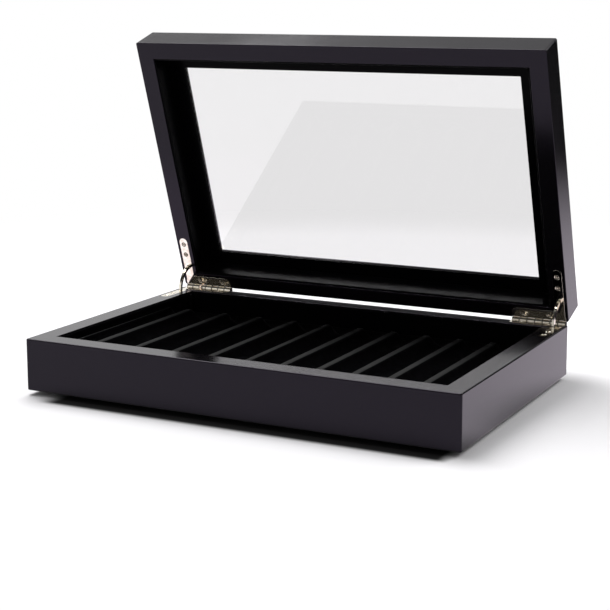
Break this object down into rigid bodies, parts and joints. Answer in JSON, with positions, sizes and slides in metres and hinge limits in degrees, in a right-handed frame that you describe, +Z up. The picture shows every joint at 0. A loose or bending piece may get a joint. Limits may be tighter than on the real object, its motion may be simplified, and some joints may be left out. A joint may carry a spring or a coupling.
{
  "type": "pen collector chest",
  "caption": "Black lacquered display chest with a glazed hinged lid over a velvet tray with round grooves for pens.",
  "frame": {"origin": "middle of the box round the open chest, on the surface that the feet stand on", "axes": "+X along the front to the right, +Y to the hinged back, +Z up; the lid stands open"},
  "size_m": [0.34, 0.2428, 0.2585],
  "materials": {
    "lacquered_wood": "black lacquer, satin gloss",
    "panel_felt": "matt black",
    "liner_velvet": "matt black",
    "tray_velvet": "flocked velvet",
    "foot_rubber": "matt",
    "clear_glass": "polished",
    "hinge_steel": "nickel plated",
    "screw_steel": "nickel plated"
  },
  "bodies": {
    "base": {"base_front_rail": "lacquered_wood", "base_back_rail": "lacquered_wood", "base_left_rail": "lacquered_wood", "base_right_rail": "lacquered_wood", "base_bottom_panel": "panel_felt", "base_front_liner": "liner_velvet", "base_back_liner": "liner_velvet", "base_left_liner": "liner_velvet", "base_right_liner": "liner_velvet", "pen_tray": "tray_velvet", "foot_front_left": "foot_rubber", "foot_front_right": "foot_rubber", "foot_back_left": "foot_rubber", "foot_back_right": "foot_rubber", "left_hinge_base_leaf": "hinge_steel", "left_hinge_base_screws": "screw_steel", "left_hinge_pin": "hinge_steel", "right_hinge_base_leaf": "hinge_steel", "right_hinge_base_screws": "screw_steel", "right_hinge_pin": "hinge_steel"},
    "lid": {"lid_front_rail": "lacquered_wood", "lid_back_rail": "lacquered_wood", "lid_left_rail": "lacquered_wood", "lid_right_rail": "lacquered_wood", "lid_glass": "clear_glass", "glass_front_retainer": "liner_velvet", "glass_back_retainer": "liner_velvet", "glass_left_retainer": "liner_velvet", "glass_right_retainer": "liner_velvet", "lid_front_liner": "liner_velvet", "lid_back_liner": "liner_velvet", "lid_left_liner": "liner_velvet", "lid_right_liner": "liner_velvet", "left_hinge_lid_leaf": "hinge_steel", "left_hinge_lid_screws": "screw_steel", "right_hinge_lid_leaf": "hinge_steel", "right_hinge_lid_screws": "screw_steel"},
    "left_stay": {"left_hinge_stay": "hinge_steel"},
    "right_stay": {"right_hinge_stay": "hinge_steel"}
  },
  "joints": [
    {"name": "lid_hinge", "type": "hinge", "parent": "base", "child": "lid", "pos_m": [0, 0.09846, 0.0421], "axis": [-1, 0, 0], "range_deg": [-71.7, 0]},
    {"name": "left_stay_hinge", "type": "hinge", "parent": "base", "child": "left_stay", "pos_m": [-0.1637, 0.09846, 0.0421], "axis": [-1, 0, 0], "range_deg": [-35.85, 0]},
    {"name": "right_stay_hinge", "type": "hinge", "parent": "base", "child": "right_stay", "pos_m": [0.1637, 0.09846, 0.0421], "axis": [-1, 0, 0], "range_deg": [-35.85, 0]}
  ],
  "couplings": [
    {"joint": "left_stay_hinge", "follows": "lid_hinge", "ratio": 0.5},
    {"joint": "right_stay_hinge", "follows": "lid_hinge", "ratio": 0.5}
  ]
}
